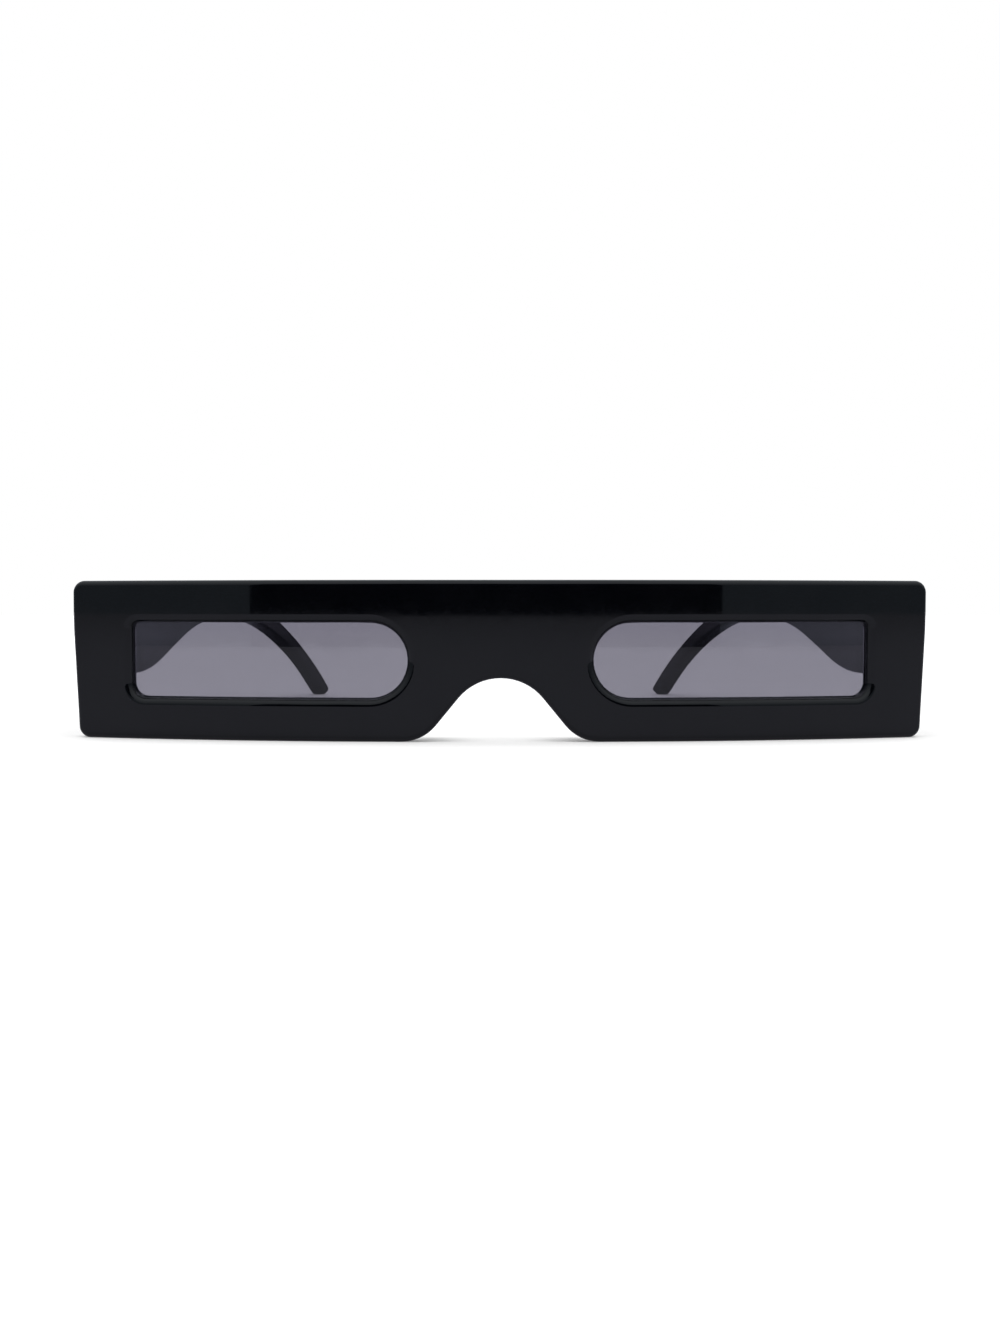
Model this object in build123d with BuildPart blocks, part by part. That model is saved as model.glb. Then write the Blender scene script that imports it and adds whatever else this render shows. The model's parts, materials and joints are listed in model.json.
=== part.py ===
from build123d import *
from math import acos, asin, cos, degrees, hypot, radians, sin, sqrt, tan
import os

# Narrow rectangle sunglasses in black acetate, standing on the lower edge of the front and on
# the tips of the open temples. Millimetres, +Z up, the front faces -Y. Left and right are the
# wearer's, so the left side is at +X. The origin is under the middle of the whole object.
# Depths are measured behind the middle of the front's face, which is called the brow here.

# The front
front_width = 145.0
front_height = 26.6
front_thickness = 4.5
face_radius = 200.0  # plan curve of the face, outside the flat middle
bridge_flat = 10.0  # half the width of the flat middle
corner_radius = 2.0
upright_height = 7.6  # the ends are upright this far below the top, then draw in
end_taper = 1.0  # how far each end has drawn in at the bottom
end_bend_radius = 60.0
face_edge_radius = 0.9
rear_edge_bevel = 0.35

# The nose arch
arch_height = 10.45
arch_radius = 9.0
arch_flank_slope = 50.6  # degrees
arch_foot_radius = 7.3

# The lens openings: half round at the nose, square at the temple
opening_nose_end = 15.3
opening_end_margin = 10.8  # from the temple end of the opening to the end of the front
opening_bottom = 7.1
opening_height = 12.5
opening_upper_corner = 1.1
opening_lower_corner = 2.3
opening_face_radius = 1.35  # rounding of the opening's edge on the face
opening_rear_bevel = 0.4

# The lenses and the groove that holds them
lens_setback = 1.6
lens_thickness = 1.8
lens_seat = 0.8  # how far the rim goes into the front
lens_rim_land = 0.2  # flat left between the two bevels of the rim
lens_fit = 0.05

# The cemented nose pads
pad_offset = 1.9  # middle of the pad's base from the arch flank
pad_length = 8.6
pad_width = 2.8
pad_projection = 5.2
pad_tip_length = 5.6
pad_tip_width = 1.9
pad_flare = 1.3  # how far the tip leans away from the nose
pad_tip_rounding = 0.8

# The hinges
pivot_end_margin = 6.4  # hinge axis in from the end of the front
pivot_setback = 1.9  # axis behind the back of the front
pivot_inset = 1.55  # axis inward of the temple's inner face
barrel_radius = 1.4
neck_width = 1.9  # web between a knuckle and its plate
knuckle_count = 5
knuckle_height = 1.5
knuckle_gap = 0.06
leaf_thickness = 0.9
front_leaf_width = 3.2  # plate from the neck towards the lens
temple_leaf_length = 10.5
leaf_corner_radius = 0.8
leaf_fit = 0.03
foot_depth = 1.5
foot_neck = 1.1
foot_spread = 0.45  # how far the dovetail widens on each side
foot_inset = 1.1  # the foot is shorter than its plate by this at each end

# The hinge screws
screw_diameter = 1.4
screw_head_diameter = 2.2
screw_fit = 0.03
slot_width = 0.35
slot_depth = 0.3

# The temples
temple_thickness = 3.3
temple_drop = 1.2  # top of the temple below the top of the front
butt_gap = 0.15
temple_tilt = 3.0  # degrees that the straight root leans inward
root_length = 15.5  # straight part, from the hinge axis
arm_bow_radius = 450.0
arm_bow_length = 57.0
ear_bow_radius = 170.0
ear_outer_radius = 167.0  # tighter than the inner face, so the tip thins out
temple_edge_bevel = 0.55

# The temple's side view
root_height = 15.5
root_reach = 36.0  # full height as far back as this
sweep_slope = 16.5  # degrees
sweep_lower_radius = 60.0
sweep_upper_radius = 80.0
arm_height = 5.7
ear_bend_top = 92.0  # where the upper edge starts to bend
ear_bend_low = 97.2  # where the lower edge starts to bend
ear_bend_radius = 52.0
tip_height = 2.7
toe_radius = 1.3
heel_radius = 1.2

# The core wires
core_width = 1.2
core_height = 1.4
core_start = 22.0
core_bend = 26.0  # degrees of the ear bend that the wire follows
core_fit = 0.03

# The rivets
rivet_diameter = 1.1
rivet_length = 2.2
rivet_head_diameter = 1.9
rivet_head_height = 0.35
rivet_fit = 0.02
first_rivet = 3.2  # from the hinge axis
rivet_pitch = 4.6

overrun = 1.0  # how far a cut runs past what it cuts
near = 0.01  # how close an edge lies to the surface that it is picked by


def rear_radius():
    return face_radius - front_thickness


def shell_depth(point):
    """Depth of a point behind the curved face."""
    beside = max(abs(point.X) - bridge_flat, 0)
    return face_radius - hypot(beside, face_radius - (point.Y - brow_y))


def shell_edges(edges, depth):
    """Those of the edges that lie on the shell at this depth behind the face."""
    return edges.filter_by(
        lambda edge: all(abs(shell_depth(edge @ share) - depth) < near for share in (0, 0.5, 1))
    )


def shell_plan(front_depth, back_depth):
    """Plan of the layer between two depths behind the face, over the whole front."""
    wrap = degrees(asin((front_width / 2 + overrun - bridge_flat) / rear_radius()))
    with BuildSketch() as plan:
        with BuildLine():
            ends = []
            for depth in (front_depth, back_depth):
                flat = Line((0, depth), (bridge_flat, depth))
                arc = JernArc(flat @ 1, flat % 1, face_radius - depth, wrap)
                ends.append(arc @ 1)
            Line(ends[0], ends[1])
            mirror(about=Plane.YZ)
        make_face()
    return plan.sketch


def front_outline():
    """Front view of the bar with its nose arch."""
    half_top = front_width / 2
    half_foot = half_top - end_taper
    shoulder = front_height - upright_height
    with BuildSketch() as outline:
        Polygon(
            (-half_foot, 0),
            (half_foot, 0),
            (half_top, shoulder),
            (half_top, front_height),
            (-half_top, front_height),
            (-half_top, shoulder),
            align=None,
        )
        for side in (-1, 1):
            fillet(
                outline.vertices().sort_by_distance((side * half_top, shoulder))[0],
                end_bend_radius,
            )
        fillet(outline.vertices().group_by(Axis.Y)[0], corner_radius)
        fillet(outline.vertices().group_by(Axis.Y)[-1], corner_radius)
        with BuildLine():
            crown = CenterArc(
                (0, arch_height - arch_radius),
                arch_radius,
                90 - arch_flank_slope,
                2 * arch_flank_slope,
            )
            Polyline(crown @ 0, (arch_foot(), 0), (-arch_foot(), 0), crown @ 1)
        make_face(mode=Mode.SUBTRACT)
        for side in (-1, 1):
            fillet(
                outline.vertices().sort_by_distance((side * arch_foot(), 0))[0],
                arch_foot_radius,
            )
    return outline.sketch


def flank_top():
    """Where the crown of the arch runs into its straight flank."""
    slope = radians(arch_flank_slope)
    return Vector(
        arch_radius * sin(slope),
        arch_height - arch_radius + arch_radius * cos(slope),
    )


def arch_foot():
    """Half width of the arch at the bottom, before its foot is rounded."""
    return flank_top().X + flank_top().Y / tan(radians(arch_flank_slope))


def opening_outline(growth):
    """Front view of the left lens opening, grown on every side."""
    half_height = opening_height / 2
    middle = opening_bottom + half_height
    temple_end = front_width / 2 - opening_end_margin
    straight = temple_end - opening_nose_end - half_height
    with BuildSketch() as outline:
        with Locations((opening_nose_end + half_height, middle)):
            Circle(half_height)
            Rectangle(straight, opening_height, align=(Align.MIN, Align.CENTER))
        corners = outline.vertices().group_by(Axis.X)[-1].sort_by(Axis.Y)
        fillet(corners[0], opening_lower_corner)
        fillet(outline.vertices().group_by(Axis.X)[-1].sort_by(Axis.Y)[-1], opening_upper_corner)
        if growth > 0:
            offset(amount=growth)
    return outline.sketch


def lens_blank(growth):
    """The left lens, grown on every side to make the hollow that it sits in."""
    front_depth = lens_setback - growth
    back_depth = lens_setback + lens_thickness + growth
    with BuildPart() as blank:
        with BuildSketch(brow_plan):
            add(shell_plan(front_depth, back_depth))
        extrude(amount=front_height)
        with BuildSketch(brow_view):
            add(opening_outline(lens_seat + growth))
        extrude(amount=front_width, both=True, mode=Mode.INTERSECT)
        rims = shell_edges(blank.edges(), front_depth) + shell_edges(blank.edges(), back_depth)
        chamfer(rims, (lens_thickness - lens_rim_land) / 2)
    return blank.part


def ear_bend_level():
    """Height of the centre that the lower edge of the ear bends about."""
    return front_height - temple_drop - arm_height - ear_bend_radius


def tip_slope():
    """How steeply the ear end comes down to its toe, which just touches the ground."""
    return acos((toe_radius - ear_bend_level()) / (ear_bend_radius + toe_radius))


def toe_centre():
    """Centre of the rounded toe, beyond the lower edge of the ear bend."""
    reach = ear_bend_radius + toe_radius
    return Vector(
        ear_bend_low + reach * sin(tip_slope()),
        ear_bend_level() + reach * cos(tip_slope()),
    )


def heel_corner():
    """Upper corner of the temple's end, before it is rounded."""
    along = Vector(cos(tip_slope()), -sin(tip_slope()))
    across = Vector(sin(tip_slope()), cos(tip_slope()))
    return toe_centre() + along * toe_radius + across * (tip_height - toe_radius)


def upper_bend_radius():
    """Radius of the upper edge of the ear bend, which is level where it starts."""
    run = heel_corner().X - ear_bend_top
    fall = front_height - temple_drop - heel_corner().Y
    return (run**2 + fall**2) / (2 * fall)


def temple_outline():
    """Side view of a temple: depth behind the brow across, height up."""
    top = front_height - temple_drop
    sweep_share = 1 - cos(radians(sweep_slope))
    sweep_run = (sweep_lower_radius + sweep_upper_radius) * sin(radians(sweep_slope))
    sweep_rise = (sweep_lower_radius + sweep_upper_radius) * sweep_share
    ramp_rise = root_height - arm_height - sweep_rise
    arm_start = root_reach + sweep_run + ramp_rise / tan(radians(sweep_slope))
    root_bottom = top - root_height
    arm_bottom = top - arm_height
    fall = degrees(tip_slope())
    with BuildSketch() as outline:
        with BuildLine():
            top_edge = Line((0, top), (ear_bend_top, top))
            TangentArc(top_edge @ 1, heel_corner(), tangent=(1, 0))
            toe = CenterArc(toe_centre(), toe_radius, 270 - fall, 90)
            Line(heel_corner(), toe @ 1)
            bend = CenterArc((ear_bend_low, ear_bend_level()), ear_bend_radius, 90 - fall, fall)
            rise = CenterArc(
                (arm_start, arm_bottom - sweep_upper_radius),
                sweep_upper_radius,
                90,
                sweep_slope,
            )
            Line(bend @ 1, rise @ 0)
            scoop = CenterArc(
                (root_reach, root_bottom + sweep_lower_radius),
                sweep_lower_radius,
                270,
                sweep_slope,
            )
            Line(rise @ 1, scoop @ 1)
            Polyline(scoop @ 0, (0, root_bottom), (0, top))
        make_face()
        fillet(outline.vertices().sort_by_distance(heel_corner())[0], heel_radius)
    return outline.sketch


def arm_plan(inner, outer, outer_ear_radius, start):
    """Plan of a strip along the temple, between two distances from its inner face. It runs on
    past the tip, which the side view cuts."""
    bow = degrees(arm_bow_length / arm_bow_radius)
    bow_end = root_length + arm_bow_radius * sin(radians(bow))
    ear_rise = sin(radians(bow)) + (overall_depth - bow_end) / ear_bow_radius
    ear = degrees(asin(ear_rise)) - bow
    with BuildSketch() as plan:
        with BuildLine():
            ends = []
            for gap, ear_radius in ((inner, ear_bow_radius + inner), (outer, outer_ear_radius)):
                root = Line((pivot_inset + gap, start), (pivot_inset + gap, root_length))
                arm = JernArc(root @ 1, root % 1, arm_bow_radius + gap, bow)
                tip = JernArc(arm @ 1, arm % 1, ear_radius, ear)
                ends.append((root @ 0, tip @ 1))
            for first, second in zip(ends[0], ends[1]):
                Line(first, second)
        make_face()
    return plan.sketch


def core_outline(growth):
    """Side view of a core wire, midway between the temple's two edges."""
    top = front_height - temple_drop
    middle = top - arm_height / 2
    bend_start = (ear_bend_top + ear_bend_low) / 2
    bend_radius = (ear_bend_radius + upper_bend_radius()) / 2
    half_height = core_height / 2 + growth
    swing = core_bend + degrees(growth / bend_radius)
    bend_centre = Vector(bend_start, middle - bend_radius)
    with BuildSketch() as outline:
        with BuildLine():
            ends = []
            for side in (-1, 1):
                level = middle + side * half_height
                run = Line((core_start - growth, level), (bend_start, level))
                bend = CenterArc(bend_centre, bend_radius + side * half_height, 90 - swing, swing)
                ends.append((run @ 0, bend @ 0))
            for first, second in zip(ends[0], ends[1]):
                Line(first, second)
        make_face()
    return outline.sketch


def core_wire(growth):
    """The left core wire, grown on every side to make the hollow that it lies in."""
    margin = (temple_thickness - core_width) / 2 - growth
    far = temple_thickness - margin
    with BuildPart() as wire:
        with BuildSketch(temple_plan):
            add(arm_plan(margin, far, ear_bow_radius + far, 0))
        extrude(amount=front_height)
        with BuildSketch(side_view):
            add(core_outline(growth))
        extrude(amount=front_width, mode=Mode.INTERSECT)
    return wire.part


def front_leaf_sink(growth, rise):
    """Plate and dovetail foot of the left front leaf, grown on every side but the back, which
    rises past the back of the front in the hollow."""
    half_neck = neck_width / 2 + growth
    plate_back = rise - pivot_setback
    plate_front = -pivot_setback - leaf_thickness
    plate_inner = -half_neck - front_leaf_width
    foot_middle = -front_leaf_width / 2
    foot_front = plate_front - foot_depth - growth
    half_foot = foot_neck / 2 + growth
    with BuildPart() as sink:
        with BuildSketch(front_leaf_plan.offset(hinge_middle() - stack_height() / 2 - growth)):
            with BuildLine():
                Polyline(
                    (half_neck, plate_back),
                    (half_neck, plate_front - growth),
                    (plate_inner, plate_front - growth),
                    (plate_inner, plate_back),
                    close=True,
                )
            make_face()
        extrude(amount=stack_height() + 2 * growth)
        foot_height = stack_height() - 2 * foot_inset + 2 * growth
        with BuildSketch(front_leaf_plan.offset(hinge_middle() - foot_height / 2)):
            with BuildLine():
                Polyline(
                    (foot_middle - half_foot, plate_front),
                    (foot_middle - half_foot - foot_spread, foot_front),
                    (foot_middle + half_foot + foot_spread, foot_front),
                    (foot_middle + half_foot, plate_front),
                    close=True,
                )
            make_face()
        extrude(amount=foot_height)
    return sink.part


def temple_leaf_plate(growth):
    """Plate of the left temple leaf, grown on every side but its face."""
    length = temple_leaf_length + 2 * growth
    height = stack_height() + 2 * growth
    corner = leaf_corner_radius + growth
    with BuildPart() as plate:
        with BuildSketch(leaf_face):
            with Locations((neck_width / 2 - temple_leaf_length / 2, hinge_middle())):
                RectangleRounded(length, height, corner)
        extrude(amount=-leaf_thickness - growth)
    return plate.part


def stack_height():
    """Height of the five knuckles with their running gaps."""
    return knuckle_count * knuckle_height + (knuckle_count - 1) * knuckle_gap


def hinge_middle():
    """Height of the hinge's middle, halfway up the temple's root."""
    return front_height - temple_drop - root_height / 2


def knuckle_levels(first):
    """Bottoms of every second knuckle, from the lowest or the second lowest."""
    bottom = hinge_middle() - stack_height() / 2
    return [
        bottom + count * (knuckle_height + knuckle_gap) for count in range(first, knuckle_count, 2)
    ]


def rivet_seats():
    """Places of the rivet heads on the temple leaf, facing inward."""
    return [
        leaf_face * Location((-first_rivet - count * rivet_pitch, hinge_middle(), 0))
        for count in range(2)
    ]


def mirrored(piece):
    """The right-hand twin of a left-hand piece."""
    with BuildPart() as twin:
        mirror(piece.part, about=Plane.YZ)
    return twin


# Reference planes. The temple's side view gives the overall depth, and half of it puts the brow
# in front of the origin.
overall_depth = temple_outline().bounding_box().max.X
brow_y = -overall_depth / 2
brow_plan = Plane(origin=(0, brow_y, 0))
brow_view = Plane(origin=(0, brow_y, 0), x_dir=(1, 0, 0), z_dir=(0, -1, 0))
side_view = Plane(origin=(0, brow_y, 0), x_dir=(0, 1, 0), z_dir=(1, 0, 0))

# The hinge axis stands a set distance behind the curved back of the front.
pivot_x = front_width / 2 - pivot_end_margin
pivot_shell = rear_radius() - pivot_setback
pivot_depth = face_radius - sqrt(pivot_shell**2 - (pivot_x - bridge_flat) ** 2)
pivot = Vector(pivot_x, brow_y + pivot_depth, 0)
front_turn = asin((pivot_x - bridge_flat) / pivot_shell)
temple_turn = radians(temple_tilt)
front_leaf_plan = Plane(origin=pivot, x_dir=(cos(front_turn), sin(front_turn), 0))
temple_plan = Plane(origin=pivot, x_dir=(cos(temple_turn), sin(temple_turn), 0))
temple_outward = Vector(cos(temple_turn), sin(temple_turn), 0)
temple_along = Vector(-sin(temple_turn), cos(temple_turn), 0)
leaf_face = Plane(
    origin=pivot + temple_outward * pivot_inset,
    x_dir=-temple_along,
    z_dir=-temple_outward,
)

screw_section = Plane(
    origin=pivot + Vector(0, 0, hinge_middle() - stack_height() / 2),
    x_dir=(1, 0, 0),
    z_dir=(0, -1, 0),
)

# The pad's base lies on the back of the front, along the middle of the arch flank.
flank_middle = (flank_top() + Vector(arch_foot(), 0)) / 2
flank_turn = radians(arch_flank_slope)
pad_middle = flank_middle + Vector(sin(flank_turn), cos(flank_turn)) * pad_offset
pad_plane = Plane(
    origin=(pad_middle.X, brow_y + front_thickness, pad_middle.Y),
    x_dir=(-cos(flank_turn), 0, sin(flank_turn)),
    z_dir=(0, 1, 0),
)

# Hollows that the fitted pieces sit in
lens_hollow = lens_blank(lens_fit)
leaf_hollow = front_leaf_sink(leaf_fit, overrun)
plate_hollow = temple_leaf_plate(leaf_fit)
core_hollow = core_wire(core_fit)

# The front: a curved bar cut to its outline, rounded at every edge of its face, bevelled at the
# back, with lens grooves and a sunk seat for each hinge leaf
with BuildPart() as front_frame:
    with BuildSketch(brow_plan):
        add(shell_plan(0, front_thickness))
    extrude(amount=front_height)
    with BuildSketch(brow_view):
        add(front_outline())
    extrude(amount=front_width, both=True, mode=Mode.INTERSECT)
    fillet(shell_edges(front_frame.edges(), 0), face_edge_radius)
    chamfer(shell_edges(front_frame.edges(), front_thickness), rear_edge_bevel)
    with BuildSketch(brow_view):
        add(opening_outline(0))
        mirror(about=Plane.YZ)
    extrude(amount=front_width, both=True, mode=Mode.SUBTRACT)
    opening_edges = front_frame.edges(Select.LAST)
    fillet(shell_edges(opening_edges, 0), opening_face_radius)
    chamfer(shell_edges(opening_edges, front_thickness), opening_rear_bevel)
    for hollow in (lens_hollow, leaf_hollow):
        add(hollow, mode=Mode.SUBTRACT)
        mirror(hollow, about=Plane.YZ, mode=Mode.SUBTRACT)

with BuildPart() as lens_left:
    add(lens_blank(0))

# The front leaf: a sunk plate with a dovetail foot, and every first, third and fifth knuckle
with BuildPart() as front_hinge_left:
    add(front_leaf_sink(0, 0))
    for level in knuckle_levels(0):
        with BuildSketch(front_leaf_plan.offset(level)):
            Circle(barrel_radius)
            Rectangle(neck_width, pivot_setback, align=(Align.CENTER, Align.MAX))
        extrude(amount=knuckle_height)
    with Locations(front_leaf_plan.offset(hinge_middle() + stack_height() / 2)):
        CounterSinkHole(
            screw_diameter / 2 + screw_fit,
            screw_head_diameter / 2 + screw_fit,
            counter_sink_angle=90,
        )

# The temple leaf: a plate let into the temple, and the two knuckles between the front leaf's three
with BuildPart() as temple_hinge_left:
    add(temple_leaf_plate(0))
    for level in knuckle_levels(1):
        with BuildSketch(temple_plan.offset(level)):
            Circle(barrel_radius)
            Rectangle(pivot_inset, neck_width, align=(Align.MIN, Align.CENTER))
        extrude(amount=knuckle_height)
    with Locations(temple_plan.offset(hinge_middle() + stack_height() / 2)):
        Hole(screw_diameter / 2 + screw_fit)
    with Locations(*rivet_seats()):
        Hole(rivet_diameter / 2 + rivet_fit, depth=rivet_length)

# The hinge screw, which is the pin of the hinge
with BuildPart() as hinge_screw_left:
    head_height = (screw_head_diameter - screw_diameter) / 2
    with BuildSketch(screw_section):
        with BuildLine():
            Polyline(
                (0, 0),
                (screw_diameter / 2, 0),
                (screw_diameter / 2, stack_height() - head_height),
                (screw_head_diameter / 2, stack_height()),
                (0, stack_height()),
                close=True,
            )
        make_face()
    revolve(axis=Axis(screw_section.origin, (0, 0, 1)))
    with BuildSketch(temple_plan.offset(hinge_middle() + stack_height() / 2)):
        Rectangle(screw_head_diameter + overrun, slot_width)
    extrude(amount=-slot_depth, mode=Mode.SUBTRACT)

# The temple: its plan strip cut to its side view, with eased edges
with BuildPart() as temple_left:
    with BuildSketch(temple_plan):
        add(arm_plan(0, temple_thickness, ear_outer_radius, -2 * pivot_setback))
    extrude(amount=front_height)
    with BuildSketch(side_view):
        add(temple_outline())
    extrude(amount=front_width, mode=Mode.INTERSECT)
    with BuildSketch(brow_plan):
        with Locations((bridge_flat, face_radius)):
            Circle(rear_radius() - butt_gap)
    extrude(amount=front_height, mode=Mode.INTERSECT)
    butt = temple_left.faces().sort_by(Axis.Y)[0]
    long_edges = temple_left.edges().filter_by(Axis.X, reverse=True).filter_by(Axis.Z, reverse=True)
    chamfer(long_edges - butt.edges(), temple_edge_bevel)
    add(plate_hollow, mode=Mode.SUBTRACT)
    add(core_hollow, mode=Mode.SUBTRACT)
    with Locations(*rivet_seats()):
        Hole(rivet_diameter / 2 + rivet_fit, depth=rivet_length + rivet_fit)

with BuildPart() as temple_core_left:
    add(core_wire(0))

# The rivets: two alike, with a low domed head on the temple leaf
with BuildPart() as rivet:
    with BuildSketch(Plane.XZ):
        with BuildLine():
            Polyline(
                (0, rivet_head_height),
                (0, -rivet_length),
                (rivet_diameter / 2, -rivet_length),
                (rivet_diameter / 2, 0),
                (rivet_head_diameter / 2, 0),
            )
            TangentArc((0, rivet_head_height), (rivet_head_diameter / 2, 0), tangent=(1, 0))
        make_face()
    revolve(axis=Axis.Z)

with BuildPart() as temple_rivets_left:
    with Locations(*rivet_seats()):
        add(rivet.part)

# The nose pad: its base lies along the arch flank and its tip leans away from the nose
with BuildPart() as nose_pad_left:
    with BuildSketch(pad_plane):
        SlotOverall(pad_length, pad_width)
    with BuildSketch(pad_plane.offset(pad_projection)):
        with Locations((0, pad_flare)):
            SlotOverall(pad_tip_length, pad_tip_width)
    loft()
    fillet(nose_pad_left.faces().sort_by(Axis.Y)[-1].edges(), pad_tip_rounding)
    add(front_frame.part, mode=Mode.SUBTRACT)

pieces = {
    "front_frame": front_frame,
    "lens_left": lens_left,
    "lens_right": mirrored(lens_left),
    "nose_pad_left": nose_pad_left,
    "nose_pad_right": mirrored(nose_pad_left),
    "front_hinge_left": front_hinge_left,
    "front_hinge_right": mirrored(front_hinge_left),
    "temple_hinge_left": temple_hinge_left,
    "temple_hinge_right": mirrored(temple_hinge_left),
    "hinge_screw_left": hinge_screw_left,
    "hinge_screw_right": mirrored(hinge_screw_left),
    "temple_left": temple_left,
    "temple_right": mirrored(temple_left),
    "temple_core_left": temple_core_left,
    "temple_core_right": mirrored(temple_core_left),
    "temple_rivets_left": temple_rivets_left,
    "temple_rivets_right": mirrored(temple_rivets_left),
}

os.makedirs("parts", exist_ok=True)
for name, piece in pieces.items():
    piece.part.label = name
    export_step(piece.part, f"parts/{name}.step")
    print(name, round(piece.part.volume, 2))
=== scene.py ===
# %% [markdown]
# # Narrow rectangle sunglasses
# This lesson dresses a finished construction model. The model gives every piece at its real size
# and place: the front bar, two lenses, two nose pads, two five-barrel hinges with their screws,
# and two temples with a core wire and rivets. Blender adds what the eye meets first: polished
# black acetate, smoke-tinted lenses, nickel silver hinges and the light of a small product table.
# All lengths are in metres, so a value in millimetres is written times `MM`.

# %% Load the frame
import json
from math import atan, copysign, cos, degrees, radians

import bpy
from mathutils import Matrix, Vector

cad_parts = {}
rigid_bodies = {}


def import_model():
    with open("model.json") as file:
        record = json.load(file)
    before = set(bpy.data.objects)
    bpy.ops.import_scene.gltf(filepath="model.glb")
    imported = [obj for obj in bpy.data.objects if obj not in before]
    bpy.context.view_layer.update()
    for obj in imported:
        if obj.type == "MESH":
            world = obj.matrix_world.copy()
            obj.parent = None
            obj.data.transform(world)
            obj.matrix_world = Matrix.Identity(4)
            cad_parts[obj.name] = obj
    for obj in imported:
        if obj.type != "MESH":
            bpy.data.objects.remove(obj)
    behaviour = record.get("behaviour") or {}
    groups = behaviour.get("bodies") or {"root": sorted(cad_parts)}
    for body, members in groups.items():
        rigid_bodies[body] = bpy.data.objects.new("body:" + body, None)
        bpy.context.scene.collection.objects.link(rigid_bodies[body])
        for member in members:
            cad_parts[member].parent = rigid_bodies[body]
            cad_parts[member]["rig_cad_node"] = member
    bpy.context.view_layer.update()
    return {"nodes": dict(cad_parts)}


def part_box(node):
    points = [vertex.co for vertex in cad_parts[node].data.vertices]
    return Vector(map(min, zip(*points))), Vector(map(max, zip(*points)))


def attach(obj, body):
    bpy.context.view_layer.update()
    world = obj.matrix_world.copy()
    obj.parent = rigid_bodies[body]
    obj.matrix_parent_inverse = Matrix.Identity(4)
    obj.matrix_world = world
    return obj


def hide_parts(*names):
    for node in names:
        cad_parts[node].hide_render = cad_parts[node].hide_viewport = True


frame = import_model()
MM = 0.001

# %% [markdown]
# ## Colours and nodes
# Colours are picked as sRGB hex values, the way a designer reads them off a swatch, but shaders
# work in linear light. One function turns the first into the second. Materials are built from
# nodes, so a second function adds a node, sets its options, and fills each input with a value or
# a link. A third starts a material and sets the values that are the same all over it.


# %% Colour, node and material
def linear(hex_colour):
    """An sRGB hex colour as linear RGBA."""
    channels = [int(hex_colour[i : i + 2], 16) / 255 for i in (1, 3, 5)]
    return [c / 12.92 if c <= 0.04045 else ((c + 0.055) / 1.055) ** 2.4 for c in channels] + [1.0]


def add_node(tree, kind, options, inputs):
    """Adds a node, sets its options, and gives its inputs values or links."""
    node = tree.nodes.new(kind)
    for name, value in options.items():
        setattr(node, name, value)
    for name, value in inputs.items():
        if isinstance(value, bpy.types.NodeSocket):
            tree.links.new(value, node.inputs[name])
        else:
            node.inputs[name].default_value = value
    return node


def new_material(name, uniform):
    """A material with uniform values on its Principled shader, with its tree and the shader."""
    material = bpy.data.materials.new(name)
    material.use_nodes = True
    shader = material.node_tree.nodes["Principled BSDF"]
    for socket, value in uniform.items():
        shader.inputs[socket].default_value = value
    return material, material.node_tree, shader


print("middle grey as linear light:", [round(c, 4) for c in linear("#808080")])

# %% [markdown]
# ## Nodes that come back often
# Nearly every material needs a sum, a value moved from one range to another, a noise whose
# features have a real size, a colour ramp, a mix or a bump. Each of these gets a short name here,
# so that a material further down reads as a list of its traits.


# %% Node shorthands
def object_place(tree):
    """The place on the piece, in metres."""
    return add_node(tree, "ShaderNodeTexCoord", {}, {}).outputs["Object"]


def add_math(tree, operation, first, second):
    """A sum on two values or links."""
    node = add_node(tree, "ShaderNodeMath", {"operation": operation}, {0: first, 1: second})
    return node.outputs[0]


def add_range(tree, value, source, target):
    """A value moved from one range to another, and held inside it."""
    inputs = {
        "Value": value,
        "From Min": source[0],
        "From Max": source[1],
        "To Min": target[0],
        "To Max": target[1],
    }
    return add_node(tree, "ShaderNodeMapRange", {}, inputs).outputs[0]


def add_noise(tree, place, size, detail, roughness=0.5):
    """A noise whose features are about as large as the size."""
    inputs = {"Vector": place, "Scale": 1 / size, "Detail": detail, "Roughness": roughness}
    return add_node(tree, "ShaderNodeTexNoise", {}, inputs).outputs["Fac"]


def add_ramp(tree, factor, stops):
    """A colour ramp between hex colours at places from 0 to 1."""
    ramp = add_node(tree, "ShaderNodeValToRGB", {}, {"Fac": factor})
    elements = ramp.color_ramp.elements
    while len(elements) < len(stops):
        elements.new(1.0)
    for element, (place, colour) in zip(elements, stops):
        element.position = place
        element.color = linear(colour)
    return ramp.outputs["Color"]


def add_mix(tree, share, first, second):
    """A colour between two colours."""
    inputs = {0: share, 6: first, 7: second}
    return add_node(tree, "ShaderNodeMix", {"data_type": "RGBA"}, inputs).outputs[2]


def add_bump(tree, height, distance, strength=1.0):
    """Normals that lean as a relief of this height would make them."""
    inputs = {"Height": height, "Distance": distance, "Strength": strength}
    return add_node(tree, "ShaderNodeBump", {}, inputs).outputs[0]


print("shorthands: place, math, range, noise, ramp, mix and bump")

# %% [markdown]
# ## Polished black acetate
# The front, the temples and the pads are cut from cellulose acetate sheet and tumbled in barrels
# of wood pegs and polishing paste. That leaves a deep gloss with three faint traces: the pigment
# is not perfectly even, the buffing leaves a very shallow waviness that bends reflections, and
# handling adds a fine haze and hairlines that only show in a highlight. A flat black would look
# like a hole in the picture, so each trace gets its own noise, at its own real size.


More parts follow.
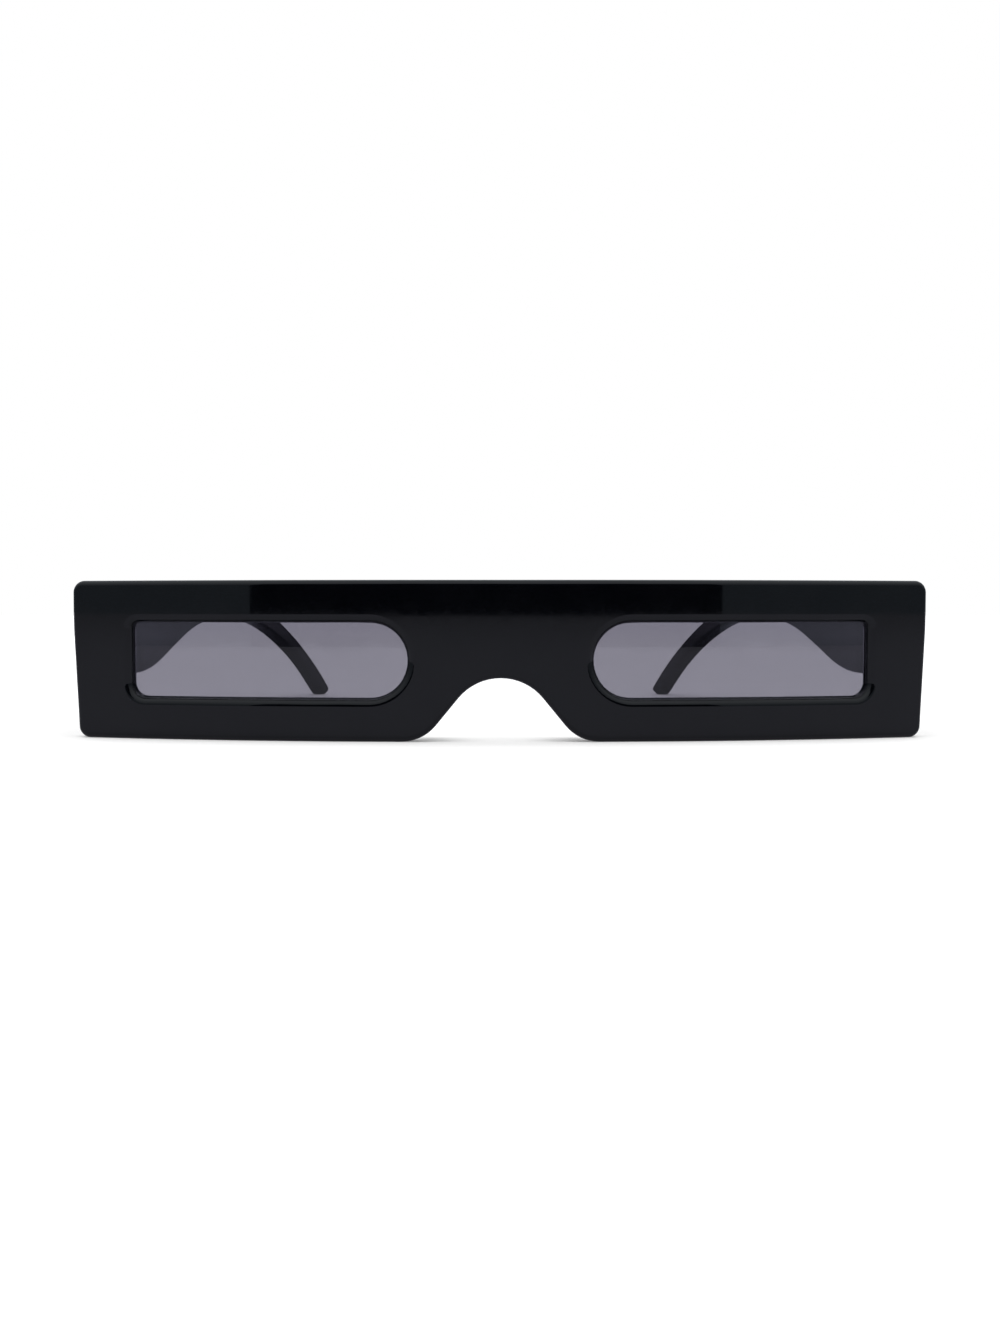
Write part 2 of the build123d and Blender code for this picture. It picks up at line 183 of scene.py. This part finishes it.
# %% Polished acetate
def polished_acetate(name, hairline_turn):
    """Tumbled and buffed cellulose acetate, dyed black in the mass."""
    material, tree, shader = new_material(name, {"IOR": 1.48})
    place = object_place(tree)

    cloud_size = 7 * MM
    cloud = add_noise(tree, place, cloud_size, 3.0, 0.55)
    black = add_ramp(tree, cloud, [(0.3, "#030407"), (0.7, "#06070A")])
    tree.links.new(black, shader.inputs["Base Color"])

    haze_size = 2.2 * MM
    haze = add_noise(tree, place, haze_size, 4.0, 0.6)
    gloss = add_range(tree, haze, (0.3, 0.7), (0.02, 0.045))
    # Hairlines are a noise drawn out along the way the cloth ran.
    hairline_width = 0.35 * MM
    drawn_out = 30.0
    turned = add_node(
        tree,
        "ShaderNodeMapping",
        {},
        {"Vector": place, "Rotation": hairline_turn, "Scale": (drawn_out, 1.0, drawn_out)},
    )
    hairline = add_noise(tree, turned.outputs[0], drawn_out * hairline_width, 2.0)
    lines = add_range(tree, hairline, (0.58, 0.72), (0.0, 0.03))
    tree.links.new(add_math(tree, "ADD", gloss, lines), shader.inputs["Roughness"])

    wave_size = 11 * MM
    wave_depth = 0.0025 * MM
    wave = add_noise(tree, place, wave_size, 1.0)
    tree.links.new(add_bump(tree, wave, wave_depth), shader.inputs["Normal"])
    return material


front_acetate = polished_acetate("black acetate, front", (0.0, 0.0, radians(90)))
temple_acetate = polished_acetate("black acetate, temples", (0.0, 0.0, radians(4)))
pad_acetate = polished_acetate("black acetate, nose pads", (radians(25), 0.0, 0.0))
print("acetate materials:", len(bpy.data.materials))

# %% [markdown]
# ## Smoke-tinted lenses
# A plano sun lens is a sheet of hard allyl resin, dipped in a hot dye bath, and this one reads as
# a cool grey with a trace of violet. The tint belongs to light that passes through, so it goes on
# a fully transmitting shader, and a soft vertical ramp makes it a little deeper towards the upper
# edge.
#
# A ground lens is a piece of a sphere, while the construction model bends it in plan only. The
# missing up-and-down curve is a fraction of a millimetre, too little to see as a shape, yet it
# decides what the lens mirrors. The hard coat alone carries the mirror image here, so the black
# specular tint takes it from the resin below, and the bump leans only the coat's normals as the
# sphere would. The lower half then catches the pale table, the upper half stays clear, and the
# view through the lens isn't bent.

# %% Tinted resin
lens_low, lens_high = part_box("lens_left")
resin_index = 1.498


def tinted_resin(name):
    """Dip-dyed hard resin ground to a sphere, with a tint that is a little deeper at the top."""
    uniform = {
        "IOR": resin_index,
        "Roughness": 0.0,
        "Transmission Weight": 1.0,
        "Specular Tint": linear("#000000"),
        "Coat Weight": 1.0,
        "Coat IOR": resin_index,
        "Coat Roughness": 0.0,
    }
    material, tree, shader = new_material(name, uniform)
    place = object_place(tree)
    height = add_node(tree, "ShaderNodeSeparateXYZ", {}, {"Vector": place}).outputs["Z"]

    uneven_size = 9 * MM
    uneven = add_noise(tree, place, uneven_size, 2.0)
    drift = add_range(tree, uneven, (0.0, 1.0), (-1.5 * MM, 1.5 * MM))
    level = add_math(tree, "ADD", height, drift)
    share = add_range(tree, level, (lens_low.z, lens_high.z), (0.0, 1.0))
    stops = [(0.0, "#787681"), (0.6, "#76747F"), (0.72, "#706E79"), (1.0, "#6C6A76")]
    tree.links.new(add_ramp(tree, share, stops), shader.inputs["Base Color"])

    # A sphere falls away from its middle by the square of the way, over twice its radius.
    sphere_radius = 195 * MM
    above = add_math(tree, "SUBTRACT", height, (lens_low.z + lens_high.z) / 2)
    squared = add_math(tree, "MULTIPLY", above, above)
    falling = add_math(tree, "DIVIDE", squared, -2 * sphere_radius)
    tree.links.new(add_bump(tree, falling, 1.0), shader.inputs["Coat Normal"])
    return material


lens_resin = tinted_resin("smoke tinted hard resin")
print("a lens spans, in mm:", [round(side / MM, 2) for side in lens_high - lens_low])

# %% [markdown]
# ## Hinge metals
# The hinge leaves and rivets are stamped from nickel silver, a copper alloy with a warm grey
# shine. The stamped faces are tumbled, so their shine is soft and broken by short random brush
# marks. The screws and the core wires are stainless steel, cooler and turned or drawn, with fine
# rings or lines along the wire. A metal's colour sits in its reflection, so it keeps Blender's
# default IOR, and the wear goes into roughness and a shallow bump.

# %% Worked metal
stain_size = 1.6 * MM
mark_depth = 0.004 * MM


def worked_metal(name, pale, dark, stretch, line_width, smooth, rough):
    """A metal with fine working marks, stretched along one axis."""
    material, tree, shader = new_material(name, {"Metallic": 1.0})
    place = object_place(tree)

    stain = add_noise(tree, place, stain_size, 3.0)
    colour = add_ramp(tree, stain, [(0.35, dark), (0.6, pale)])
    tree.links.new(colour, shader.inputs["Base Color"])

    drawn = add_node(tree, "ShaderNodeMapping", {}, {"Vector": place, "Scale": stretch})
    marks = add_noise(tree, drawn.outputs[0], line_width, 4.0, 0.65)
    roughness = add_range(tree, marks, (0.3, 0.7), (smooth, rough))
    tree.links.new(roughness, shader.inputs["Roughness"])
    tree.links.new(add_bump(tree, marks, mark_depth, 0.6), shader.inputs["Normal"])
    return material


print("stains of", stain_size / MM, "mm, and marks", mark_depth / MM, "mm deep")

# %% [markdown]
# Nickel silver comes first, for the leaves, and then for the rivets, whose heads are hammered
# and so have marks without a direction. A screw has rings round its upright axis, and a wire has
# lines along its length.

# %% Nickel silver and stainless steel
nickel_silver = worked_metal(
    "nickel silver, stamped and tumbled",
    pale="#C9C2B4",
    dark="#B9B2A3",
    stretch=(1.0, 1.0, 6.0),
    line_width=0.25 * MM,
    smooth=0.2,
    rough=0.34,
)
rivet_silver = worked_metal(
    "nickel silver, peened rivet",
    pale="#CFC8BB",
    dark="#A39B8B",
    stretch=(1.0, 1.0, 1.0),
    line_width=0.18 * MM,
    smooth=0.18,
    rough=0.36,
)
screw_steel = worked_metal(
    "stainless steel, turned screw",
    pale="#D2D3D6",
    dark="#B4B5B8",
    stretch=(1.0, 1.0, 9.0),
    line_width=0.5 * MM,
    smooth=0.14,
    rough=0.26,
)
wire_steel = worked_metal(
    "stainless steel, drawn wire",
    pale="#BFC0C2",
    dark="#9FA0A3",
    stretch=(9.0, 1.0, 9.0),
    line_width=0.4 * MM,
    smooth=0.22,
    rough=0.4,
)
print("materials:", [m.name for m in bpy.data.materials])

# %% [markdown]
# ## Normals that follow the true curve
# The bar is a sheet bent in plan only, so its face and the faces of the lenses and temples stand
# exactly upright. In a mesh, a long triangle has its corners at three places of that bend and
# leans by a fraction of a degree, and on a gloss this makes the reflections jagged. A finer mesh
# would cost many faces. Here each corner on an upright face gets a level normal instead, which
# for the front and the lenses comes from the centre of the bend itself. Corners on a small
# rounding get the plain average of the faces around them, so that a rounding turns evenly.

# %% Normals of the bent sheets
brow_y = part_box("front_frame")[0].y
face_radius = 200 * MM
bridge_flat = 10 * MM
upright_lean = 0.06
same_way = cos(radians(6))
quarters = [Vector(way) for way in ((0, 1, 0), (0, -1, 0), (1, 0, 0), (-1, 0, 0))]
quarter_reach = 0.72


def bent_sheet(point):
    """The front's plan normal: straight ahead in the middle, then away from the bend's centre."""
    beyond = max(abs(point.x) - bridge_flat, 0.0)
    plan = Vector((copysign(beyond, point.x), point.y - brow_y - face_radius, 0.0))
    return plan.normalized()


def level_normals(point, faces, sheet_normal):
    """The level normals of the upright faces at a point, one for each way that they look."""
    sheet = sheet_normal(point) if sheet_normal else None
    found = []
    for way in quarters:
        total = Vector((0, 0, 0))
        for face in faces:
            upright = abs(face.normal.z) < upright_lean and face.normal.dot(way) > quarter_reach
            if upright and (sheet is None or abs(face.normal.dot(sheet)) > same_way):
                total += face.normal * face.area
        if total.length > 0:
            total.z = 0.0
            total.normalize()
            if sheet is not None:
                total = sheet if sheet.dot(total) > 0 else -sheet
            found.append(total)
    return found


print("face bent to a radius of", round(face_radius / MM), "mm beside a flat middle")

# %% [markdown]
# A corner takes such a normal only where it lies within the piece's crease angle of its face, so
# every sharp edge stays sharp. What is left keeps the normal that it had.

# %% True normals for a piece
rounding_area = 0.35 * MM * MM


def true_normals(piece, crease, sheet_normal):
    """Gives upright faces level normals, and roundings evenly turning ones."""
    mesh = piece.data
    around = [[] for _ in mesh.vertices]
    for face in mesh.polygons:
        for index in face.vertices:
            around[index].append(face)
    even = [normal.vector.copy() for normal in mesh.vertex_normals]
    choices = []
    for vertex, faces in zip(mesh.vertices, around):
        level = level_normals(vertex.co, faces, sheet_normal)
        rounding = max(face.area for face in faces) < rounding_area
        choices.append(level or ([even[vertex.index]] if rounding else []))
    normals = [corner.vector.copy() for corner in mesh.corner_normals]
    limit = cos(radians(crease))
    for face in mesh.polygons:
        for corner, index in zip(face.loop_indices, face.vertices):
            fitting = [choice for choice in choices[index] if choice.dot(face.normal) > limit]
            if fitting:
                normals[corner] = fitting[0]
    mesh.normals_split_custom_set(normals)


print("a rounding's faces are each under", round(rounding_area / MM / MM, 2), "square mm")

# %% [markdown]
# ## Glossy copies of the moulded shapes
# The frame's meshes are loose triangles with flat faces. Satin metal hides that, but on polished
# acetate and on a lens every facet would break the reflection into strips. So each glossy piece
# is a copy of its node: the copy's doubles are merged, faces that meet at less than a set angle
# are shaded as one curve, and the normals are weighted by face area so that big faces win over
# the thin triangles of a rounded edge. The copy then stands for the node, on the same body.
# A lens gets a smaller angle, so that its bevelled rim stays a crisp edge: normals that lean
# there would bend everything that is seen through it.


# %% Copy a node and smooth it
def bare_selection():
    """Leaves nothing selected and nothing active."""
    bpy.ops.object.select_all(action="DESELECT")
    bpy.context.view_layer.objects.active = None


def glossy_copy(node_name, piece_name, body, material, crease=50, sheet_normal=None):
    """A merged, smooth-shaded copy that stands for a node."""
    bare_selection()
    node = frame["nodes"][node_name]
    node.select_set(True)
    bpy.context.view_layer.objects.active = node
    bpy.ops.object.duplicate()
    piece = bpy.context.view_layer.objects.active
    piece.name = piece_name
    del piece["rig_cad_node"]
    piece.parent = None
    bpy.ops.object.mode_set(mode="EDIT")
    bpy.ops.mesh.select_all(action="SELECT")
    bpy.ops.mesh.customdata_custom_splitnormals_clear()
    bpy.ops.mesh.remove_doubles(threshold=0.001 * MM)
    bpy.ops.object.mode_set(mode="OBJECT")
    bpy.ops.object.shade_smooth_by_angle(angle=radians(crease))
    weighted = piece.modifiers.new("weighted normals", "WEIGHTED_NORMAL")
    weighted.keep_sharp = True
    weighted.weight = 100
    bpy.ops.object.modifier_apply(modifier=weighted.name)
    true_normals(piece, crease, sheet_normal)
    piece.data.materials.clear()
    piece.data.materials.append(material)
    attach(piece, body)
    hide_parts(node_name)
    print(piece_name, len(piece.data.vertices), "points", len(piece.data.polygons), "faces")


glossy_copy(
    "front_frame",
    "front_bar",
    "front",
    front_acetate,
    sheet_normal=bent_sheet,
)
for side in ("left", "right"):
    body = side + "_temple"
    glossy_copy(
        f"lens_{side}",
        f"sun_lens_{side}",
        "front",
        lens_resin,
        crease=25,
        sheet_normal=bent_sheet,
    )
    glossy_copy(f"nose_pad_{side}", f"pad_{side}", "front", pad_acetate)
    glossy_copy(f"temple_{side}", f"temple_arm_{side}", body, temple_acetate)

# %% [markdown]
# ## Finishes for the metal pieces
# The small metal pieces keep their nodes as they are. A node already has one material slot, so
# the new finish only takes its place.

# %% Dress the metal nodes
metal_finishes = {
    "front_hinge": nickel_silver,
    "temple_hinge": nickel_silver,
    "temple_rivets": rivet_silver,
    "hinge_screw": screw_steel,
    "temple_core": wire_steel,
}
for name, finish in metal_finishes.items():
    for side in ("left", "right"):
        node = frame["nodes"][f"{name}_{side}"]
        node.data.materials.clear()
        node.data.materials.append(finish)
print("dressed", 2 * len(metal_finishes), "metal nodes")

# %% [markdown]
# ## Seen or mirrored
# The paper and the room look one way when they are seen, straight or through a lens, and another
# way in a mirror. Light Path tells the two apart: Glossy Depth counts the mirror bounces since
# the camera, and a ray that scattered on something dull is neither.


# %% Kinds of ray
def ray_kinds(tree):
    """Three switches from 0 to 1: looked along, came by a mirror, went through a lens."""
    path = add_node(tree, "ShaderNodeLightPath", {}, {}).outputs
    looked_at = add_math(tree, "MAXIMUM", path["Is Camera Ray"], path["Is Glossy Ray"])
    # A scattered ray loses more than the bounces that it can have, and the clamp leaves it at 0.
    scattered = -8.0
    mirrored = add_node(
        tree,
        "ShaderNodeMath",
        {"operation": "MULTIPLY_ADD", "use_clamp": True},
        {0: path["Is Diffuse Ray"], 1: scattered, 2: path["Glossy Depth"]},
    )
    return looked_at, mirrored.outputs[0], path["Is Transmission Ray"]


print("seen: camera or glossy ray; mirrored: glossy depth of 1 or more, and not diffuse")

# %% [markdown]
# ## The table
# The sunglasses stand on a plain white sweep that runs out of sight. The camera and the lenses
# see white paper, and the light on it darkens where the bar stands, which gives the thin contact
# shadow. Further out, where the lamp's light fades, the paper glows a little more by itself, so
# that it never greys towards its end. What polished acetate mirrors is a calmer, cooler version
# of the same paper, because the photograph's bright table is far beyond white and its mirror
# image is not. It is brighter behind the sunglasses, which lifts the temples' inner faces.

# %% Floor
bare_selection()
bpy.ops.mesh.primitive_plane_add(size=7.4, location=(0, 0, 0))
floor = bpy.context.view_layer.objects.active
floor.name = "white_sweep"
uncoated = {"Roughness": 0.9, "Specular IOR Level": 0.0}
sweep, tree, shader = new_material("white paper sweep", uncoated)
looked_at, mirrored, _ = ray_kinds(tree)
paper = add_mix(tree, mirrored, linear("#EDEDED"), linear("#6F717C"))
tree.links.new(paper, shader.inputs["Base Color"])
glow = add_mix(tree, mirrored, linear("#FFFFFF"), linear("#F4F3FC"))
tree.links.new(glow, shader.inputs["Emission Color"])

# The paper's own glow, and the ways in metres over which it grows.
near_glow = 0.2
far_glow, far_reach = 0.85, (0.3, 2.2)
mirror_glow, mirror_reach = 0.75, (0.1, 0.8)
place = object_place(tree)
away = add_node(tree, "ShaderNodeVectorMath", {"operation": "LENGTH"}, {0: place})
seen_glow = add_range(tree, away.outputs["Value"], far_reach, (near_glow, far_glow))
behind = add_node(tree, "ShaderNodeSeparateXYZ", {}, {"Vector": place}).outputs["Y"]
mirrored_glow = add_range(tree, behind, mirror_reach, (near_glow, mirror_glow))
glowing = add_node(
    tree,
    "ShaderNodeMix",
    {"data_type": "FLOAT"},
    {0: mirrored, 2: seen_glow, 3: mirrored_glow},
)
lit = add_math(tree, "MULTIPLY", looked_at, glowing.outputs[0])
tree.links.new(lit, shader.inputs["Emission Strength"])
floor.data.materials.append(sweep)
print("floor of", round(floor.dimensions.x, 1), "m on each side")

# %% [markdown]
# ## What the gloss mirrors
# In the photograph the bar's upper half is nearly black in the middle and a shade lighter
# towards both ends, with a clean edge between. That is the room in front of the table: a dark
# stretch of wall, and dim wall on each side. A dark card far in front of the sunglasses makes
# the same picture. It is there for reflections only, so no other view ever shows it.

# %% Dark card in front of the table
card_distance = 3.7
card_left, card_right = -1.84, 1.69
card_height = 2.0
bare_selection()
bpy.ops.mesh.primitive_plane_add(
    size=1.0,
    location=((card_left + card_right) / 2, -card_distance, card_height / 2),
    rotation=(radians(90), 0, 0),
)
card = bpy.context.view_layer.objects.active
card.name = "dark_card"
card.scale = (card_right - card_left, card_height, 1.0)
card_uniform = {"Base Color": linear("#020203"), "Roughness": 1.0, "Specular IOR Level": 0.0}
card_black, tree, shader = new_material("black card", card_uniform)
card.data.materials.append(card_black)
card.visible_camera = False
card.visible_diffuse = False
card.visible_transmission = False
card.visible_shadow = False
print("card from", card_left, "to", card_right, "m, at", card_distance, "m")

# %% [markdown]
# ## The room
# The world lights everything softly and evenly. Seen directly or through a lens it is white, as
# the paper behind is. In a mirror it is a dim, cool room that grows lighter overhead.

# %% World
world = bpy.data.worlds.new("studio")
bpy.context.scene.world = world
world.use_nodes = True
tree = world.node_tree
background = tree.nodes["Background"]
looked_at, mirrored, through_lens = ray_kinds(tree)
direction = add_node(tree, "ShaderNodeTexCoord", {}, {}).outputs["Generated"]
rise = add_node(tree, "ShaderNodeSeparateXYZ", {}, {"Vector": direction}).outputs["Z"]
room = add_ramp(tree, rise, [(0.1, "#737C84"), (0.9, "#D6DCE2")])
tree.links.new(add_mix(tree, mirrored, linear("#FFFFFF"), room), background.inputs["Color"])
soft_light = 0.6
strength = add_math(tree, "MAXIMUM", looked_at, soft_light)
seen_strength = add_math(tree, "MAXIMUM", strength, through_lens)
tree.links.new(seen_strength, background.inputs["Strength"])
print("soft light of strength", soft_light)

# %% [markdown]
# ## The lamp
# One wide lamp above adds the light that the contact shadow takes away again. It shows in no
# mirror, so the polished edges keep the room's soft gradient.

# %% Softbox
bare_selection()
bpy.ops.object.light_add(type="AREA", location=(0, 0.1, 1.3))
lamp = bpy.context.view_layer.objects.active
lamp.name = "overhead_softbox"
lamp.data.shape = "RECTANGLE"
lamp.data.size = 2.2
lamp.data.size_y = 1.6
lamp.data.energy = 20.0
lamp.visible_glossy = False
print("lamp", lamp.data.energy, "W over", lamp.data.size, "by", lamp.data.size_y, "m")

# %% [markdown]
# ## Camera
# The photograph was taken from close by and just above the table. The perspective of the two
# temples gives the place: about 250 mm from the brow, at a height of 22 mm, a little to the left
# of the middle, because both temples show further left than the bar's own symmetry would put
# them. The camera looks straight ahead and slightly down. A small shift centres the bar, less
# the little by which the photograph itself is off centre.

# %% Camera
eye_distance = 249.5 * MM
eye_height = 22.12 * MM
eye_left = 4.6 * MM
focal_pixels = 1527
picture_height = 1333
horizon_row = 607.2
tilt = degrees(atan((picture_height / 2 - horizon_row) / focal_pixels))
sensor = 36.0
off_centre = 0.0006
bare_selection()
bpy.ops.object.camera_add(
    location=(-eye_left, brow_y - eye_distance, eye_height),
    rotation=(radians(90 - tilt), 0, 0),
)
camera = bpy.context.view_layer.objects.active
camera.name = "photo_camera"
camera.data.sensor_width = sensor
camera.data.lens = focal_pixels * sensor / picture_height
camera.data.shift_x = eye_left / eye_distance * focal_pixels / picture_height - off_centre
camera.data.clip_start = 10 * MM
bpy.context.scene.camera = camera
bpy.context.scene.view_settings.view_transform = "Standard"
print("lens", round(camera.data.lens, 2), "mm, tilted", round(tilt, 2), "degrees")
